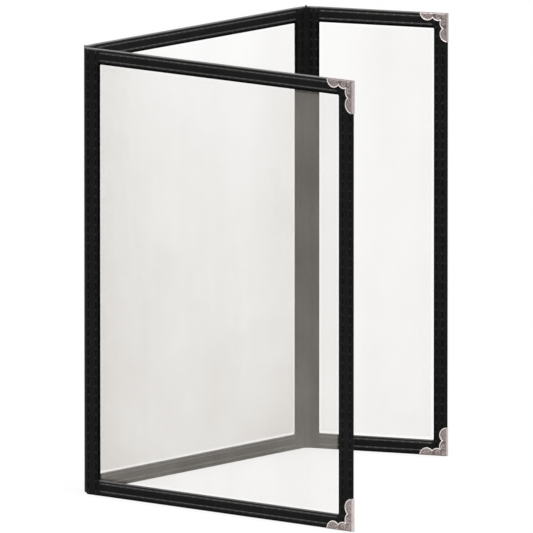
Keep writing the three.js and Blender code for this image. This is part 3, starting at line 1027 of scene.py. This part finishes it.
class Nodes:
    """The node tree of a material or a world, built a node at a time."""

    def __init__(self, owner):
        owner.use_nodes = True
        self.owner = owner
        self.tree = owner.node_tree
        self.shader = self.tree.nodes.get("Principled BSDF")
        coordinates = self.add("ShaderNodeTexCoord").outputs
        self.place = coordinates["Object"]
        self.direction = coordinates["Generated"]

    def feed(self, socket, value):
        """Links a socket to another node's, or sets its value; a colour may come without alpha."""
        if isinstance(value, bpy.types.NodeSocket):
            self.tree.links.new(value, socket)
        elif isinstance(value, tuple) and len(value) < len(socket.default_value):
            socket.default_value = (*value, 1)
        else:
            socket.default_value = value

    def add(self, kind, inputs=(), **settings):
        node = self.tree.nodes.new(kind)
        for key, value in settings.items():
            setattr(node, key, value)
        for socket, value in dict(inputs).items():
            self.feed(node.inputs[socket], value)
        return node

    def set(self, **values):
        """Feeds the shader's own sockets."""
        for key, value in values.items():
            self.feed(self.shader.inputs[key.replace("_", " ")], value)

    def noise(self, scale, detail=3.0, stretch=None):
        place = self.place
        if stretch:
            place = self.add("ShaderNodeMapping", {"Vector": place, "Scale": stretch}).outputs[0]
        inputs = {"Vector": place, "Scale": scale, "Detail": detail}
        return self.add("ShaderNodeTexNoise", inputs).outputs["Fac"]

    def cells(self, scale, feature="F1"):
        inputs = {"Vector": self.place, "Scale": scale}
        return self.add("ShaderNodeTexVoronoi", inputs, feature=feature).outputs["Distance"]

    def math(self, operation, first, second):
        return self.add("ShaderNodeMath", {0: first, 1: second}, operation=operation).outputs[0]

    def sum(self, first, second):
        return self.math("ADD", first, second)

    def times(self, first, second):
        return self.math("MULTIPLY", first, second)

    def span(self, value, low, high, to_low, to_high):
        """A value from one range to another, held at its ends."""
        inputs = {"Value": value, "From Min": low, "From Max": high}
        inputs.update({"To Min": to_low, "To Max": to_high})
        return self.add("ShaderNodeMapRange", inputs).outputs[0]

    def spread(self, noise, to_low, to_high):
        """A noise texture's usual values, from one end to the other."""
        return self.span(noise, *NOISE, to_low, to_high)

    def mix(self, share, first, second):
        inputs = {0: share, 6: first, 7: second}
        return self.add("ShaderNodeMix", inputs, data_type="RGBA").outputs[2]

    def blend(self, share, first, second):
        """A mix of two shaders."""
        return self.add("ShaderNodeMixShader", {0: share, 1: first, 2: second}).outputs[0]

    def value(self, name):
        """A number that the mesh holds at each point."""
        return self.add("ShaderNodeAttribute", attribute_name=name).outputs["Fac"]

    def bump(self, height, strength, distance):
        inputs = {"Height": height, "Strength": strength, "Distance": distance}
        return self.add("ShaderNodeBump", inputs).outputs[0]


def leatherette():
    """Black embossed leatherette, with painted highlights along its upper edges and level stitch rows, and
    painted shade along its inner edges.
    """
    n = Nodes(bpy.data.materials.new("leatherette"))
    pebble = n.cells(1250.0)
    crease = n.cells(700.0, "DISTANCE_TO_EDGE")
    fine = n.noise(3200.0, 2.0)
    broad = n.noise(90.0, 4.0)
    grain = n.sum(n.times(pebble, 0.7), n.times(fine, 0.35))
    grain = n.sum(grain, n.times(n.math("MINIMUM", crease, 0.12), 1.6))
    speckle = n.sum(n.times(broad, 0.5), n.times(n.noise(1100.0, 2.0), 0.5))
    base = n.mix(n.span(speckle, 0.35, 0.65, 0.0, 1.0), LEATHER_DARK, LEATHER_PALE)
    # Painted shade where the mark is below zero, painted highlight where it is above
    base = n.mix(n.span(n.value("worn"), -1.0, 0.0, 0.0, 1.0), LEATHER_PAINTED_SHADE, base)
    worn = n.times(n.span(n.value("worn"), 0.0, 1.0, 0.0, 1.0), n.spread(broad, 0.85, 1.1))
    n.set(
        Base_Color=n.mix(worn, base, LEATHER_PAINTED_HIGHLIGHT),
        Roughness=n.spread(n.noise(400.0, 2.0), 0.4, 0.56),
        Specular_IOR_Level=0.035,
        Normal=n.bump(grain, 0.35, LEATHER_BUMP),
    )
    return n.owner


def thread():
    """Black sewing thread, with the slant of its twist and a painted highlight on its level runs."""
    n = Nodes(bpy.data.materials.new("thread"))
    inputs = {"Vector": n.place, "Scale": 900.0, "Distortion": 1.5}
    wave = n.add("ShaderNodeTexWave", inputs, bands_direction="DIAGONAL").outputs["Fac"]
    n.set(
        Base_Color=n.mix(n.value("worn"), n.mix(wave, THREAD_DARK, THREAD_PALE), THREAD_PAINTED_HIGHLIGHT),
        Roughness=0.7,
        Specular_IOR_Level=0.07,
        Normal=n.bump(wave, 0.5, THREAD_BUMP),
    )
    return n.owner


def film():
    """Clear, slightly hazy flexible film, which hides more at a glancing view."""
    n = Nodes(bpy.data.materials.new("film"))
    streak = n.noise(1.0, 3.0, (70.0, 70.0, 6.0))
    cloud = n.noise(16.0, 2.0)
    uneven = n.times(n.spread(streak, 0.92, 1.08), n.spread(cloud, 0.82, 1.18))
    facing = n.add("ShaderNodeLayerWeight", {"Blend": 0.5}).outputs["Facing"]
    glance = n.times(n.math("POWER", facing, 4.0), 0.25)
    one_sheet = n.sum(n.times(n.value("veil"), uneven), glance)
    through = n.math("POWER", n.math("SUBTRACT", 1.0, one_sheet), 2.0)
    n.set(
        Base_Color=n.mix(n.spread(streak, 0.0, 1.0), FILM_DARK, FILM_PALE),
        Roughness=n.spread(n.noise(25.0, 3.0), 0.1, 0.2),
        Alpha=n.math("SUBTRACT", 1.0, through),
        Normal=n.bump(n.noise(30.0, 3.0), 0.15, FILM_BUMP),
    )
    return n.owner


def stamped_metal():
    """Plated metal: pale on the raised rim and ribs, dark antique finish in the recesses, with painted light
    and shade on its folded walls.
    """
    n = Nodes(bpy.data.materials.new("stamped_metal"))
    mark = n.value("relief")
    scratch = n.noise(900.0, 3.0)
    blotch = n.noise(650.0, 3.0)
    patchy = n.sum(mark, n.times(n.math("SUBTRACT", blotch, 0.5), 0.6))
    n.set(
        Base_Color=n.mix(n.span(patchy, 0.0, 1.0, 0.0, 1.0), METAL_DARK, METAL_PALE),
        Metallic=n.span(mark, 0.7, 1.0, 1.0, 0.25),
        Roughness=n.spread(scratch, 0.3, 0.46),
        Normal=n.bump(n.sum(scratch, blotch), 0.25, METAL_BUMP),
    )
    return n.owner


# The pieces, each with its material, its body and the CAD nodes that it replaces

def dress(piece, material, body, slot, *nodes):
    """Gives a piece its material, and its body unless it is blended between two."""
    piece.data.materials.append(material)
    if "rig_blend" not in piece:
        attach(piece, body)
    if nodes:
        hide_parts(*nodes)


LEATHERETTE = leatherette()
THREAD = thread()
FILM = film()
METAL = stamped_metal()

for leaf in LEAVES:
    name, body = leaf.name, leaf.body
    for word in ("left", "right"):
        dress(side_binding(leaf, word), LEATHERETTE, body, "leatherette", f"{name}_{word}_binding")
    dress(bottom_side(leaf), LEATHERETTE, body, "leatherette", f"{name}_bottom_binding")
    for word in ("front", "back"):
        dress(top_side(leaf, word), LEATHERETTE, body, "leatherette", f"{name}_{word}_lip")
    dress(pocket_film(leaf), FILM, body, "vinyl", f"{name}_front_sheet", f"{name}_back_sheet")
    dress(leaf_thread(leaf), THREAD, body, "leatherette")
    if leaf.corner_leg:
        for word in ("top", "bottom"):
            dress(metal_corner(leaf, word), METAL, body, "corner_metal", f"{name}_{word}_corner")

# For each strip: the leaf beyond it, its two fold lines, the headings of the middle leaf's edge
# and of the strip, its width, and the cut of its foot
STRIPS = (
    (COVER, COVER_HINGE, COVER_AXIS, 180, COVER_STRIP_HEADING, COVER_SPINE, FOOT_CUT),
    (FLAP, FLAP_HINGE, FLAP_AXIS, 0, FLAP_STRIP_HEADING, FLAP_SPINE, 0.0),
)
for leaf, hinge, axis, edge_heading, strip_heading, width, foot in STRIPS:
    for word, body, leaf_heading, line, heading in (
        ("inner", MIDDLE.body, edge_heading, hinge, strip_heading),
        ("outer", leaf.body, leaf.heading + 180, axis, strip_heading + 180),
    ):
        strap = fold_strap(leaf, word, body, leaf_heading, line, heading, width / 2, foot)
        dress(strap, LEATHERETTE, None, "leatherette", f"{leaf.name}_spine")


# Floor, light and camera

# The floor in metres: its radius and corners, how far it lies below the object, and where it goes
# over into the white surroundings. To the camera it is paler, and glows by a growing share
FLOOR_RADIUS = 6.0
FLOOR_CORNERS = 64
FLOOR_BELOW = 0.0002
FLOOR_FADE = (0.35, 0.9)
FLOOR_COLOUR = (0.55, 0.55, 0.55)
FLOOR_SEEN = (0.9, 0.9, 0.9)
FLOOR_GLOW = (0.83, 0.98)

# The sky is white from a little above the horizon on, and dimmer below; as light it is weaker
# than what gloss shows of it
SKY_EDGE = 0.25
SKY_LOW = 0.35
SKY_FILL = 0.9

LAMP_PLACE = (-0.45, -0.45, 1.4)
LAMP_TARGET = (0, -0.1, 0.15)
LAMP_SIZE = 1.4
LAMP_POWER = 14

# The camera stands far off behind a long lens, because the photo shows no perspective
CAMERA_AZIMUTH = 52.04
CAMERA_ELEVATION = 8.657
CAMERA_DISTANCE = 16.668
CAMERA_LENS = 1700
CAMERA_CLIP = (1, 60)
AIM_RIGHT = 0.04771
AIM_UP = 0.1353
AIM_DEPTH = -0.08


def floor():
    """A pale floor that fades out into the white surroundings."""
    mesh = bpy.data.meshes.new("floor")
    turns = np.linspace(0, 2 * math.pi, FLOOR_CORNERS, endpoint=False)
    rim = [(FLOOR_RADIUS * math.cos(t), FLOOR_RADIUS * math.sin(t), 0) for t in turns]
    mesh.from_pydata(rim, [], [list(range(FLOOR_CORNERS))])
    piece = add_object("floor", mesh)
    n = Nodes(bpy.data.materials.new("floor"))
    seen = n.add("ShaderNodeLightPath").outputs["Is Camera Ray"]
    n.set(Roughness=0.9, Specular_IOR_Level=0.1, Base_Color=n.mix(seen, FLOOR_COLOUR, FLOOR_SEEN))
    glow = n.add("ShaderNodeEmission", {"Color": (1, 1, 1, 1), "Strength": 1.0}).outputs[0]
    clear = n.add("ShaderNodeBsdfTransparent").outputs[0]
    far = n.add("ShaderNodeVectorMath", {0: n.place}, operation="LENGTH").outputs["Value"]
    away = n.span(far, *FLOOR_FADE, 0.0, 1.0)
    share = n.times(seen, n.span(away, 0.0, 1.0, *FLOOR_GLOW))
    glowing = n.blend(share, n.shader.outputs[0], glow)
    faded = n.blend(n.times(away, n.math("SUBTRACT", 1.0, seen)), glowing, clear)
    n.feed(n.tree.nodes["Material Output"].inputs[0], faded)
    mesh.materials.append(n.owner)
    piece.location.z = -FLOOR_BELOW


def surroundings():
    """White to the camera and through film; soft light on everything else."""
    world = bpy.data.worlds.new("studio")
    bpy.context.scene.world = world
    n = Nodes(world)
    ray = n.add("ShaderNodeLightPath").outputs
    upward = n.add("ShaderNodeSeparateXYZ", {0: n.direction}).outputs["Z"]
    sky = n.span(upward, -SKY_EDGE, SKY_EDGE, SKY_LOW, 1.0)
    total = n.math("MAXIMUM", n.times(ray["Is Glossy Ray"], sky), n.times(sky, SKY_FILL))
    for kind in ("Is Camera Ray", "Is Transmission Ray"):
        total = n.math("MAXIMUM", total, ray[kind])
    background = n.tree.nodes["Background"].inputs
    n.feed(background["Color"], (1, 1, 1, 1))
    n.feed(background["Strength"], total)


def aim(piece, way):
    """Points a lamp or camera along a direction."""
    piece.rotation_mode = "QUATERNION"
    piece.rotation_quaternion = way.to_track_quat("-Z", "Y")


def overhead_lamp():
    """One broad soft lamp above the object."""
    light = bpy.data.lights.new("overhead", "AREA")
    light.shape = "SQUARE"
    light.size = LAMP_SIZE
    light.energy = LAMP_POWER
    piece = add_object("overhead", light)
    piece.location = LAMP_PLACE
    aim(piece, Vector(LAMP_TARGET) - Vector(LAMP_PLACE))


def camera():
    """The camera at the photo's viewing angle."""
    data = bpy.data.cameras.new("camera")
    data.lens = CAMERA_LENS
    data.clip_start, data.clip_end = CAMERA_CLIP
    piece = add_object("camera", data)
    azimuth, elevation = math.radians(CAMERA_AZIMUTH), math.radians(CAMERA_ELEVATION)
    level = Vector((math.sin(azimuth), math.cos(azimuth), 0))
    ahead = level * math.cos(elevation) - Vector((0, 0, math.sin(elevation)))
    right = Vector((level.y, -level.x, 0))
    above = right.cross(ahead)
    piece.location = AIM_RIGHT * right + AIM_UP * above + (AIM_DEPTH - CAMERA_DISTANCE) * ahead
    aim(piece, ahead)
    bpy.context.scene.camera = piece


floor()
surroundings()
overhead_lamp()
camera()
bpy.context.scene.view_settings.view_transform = "Standard"
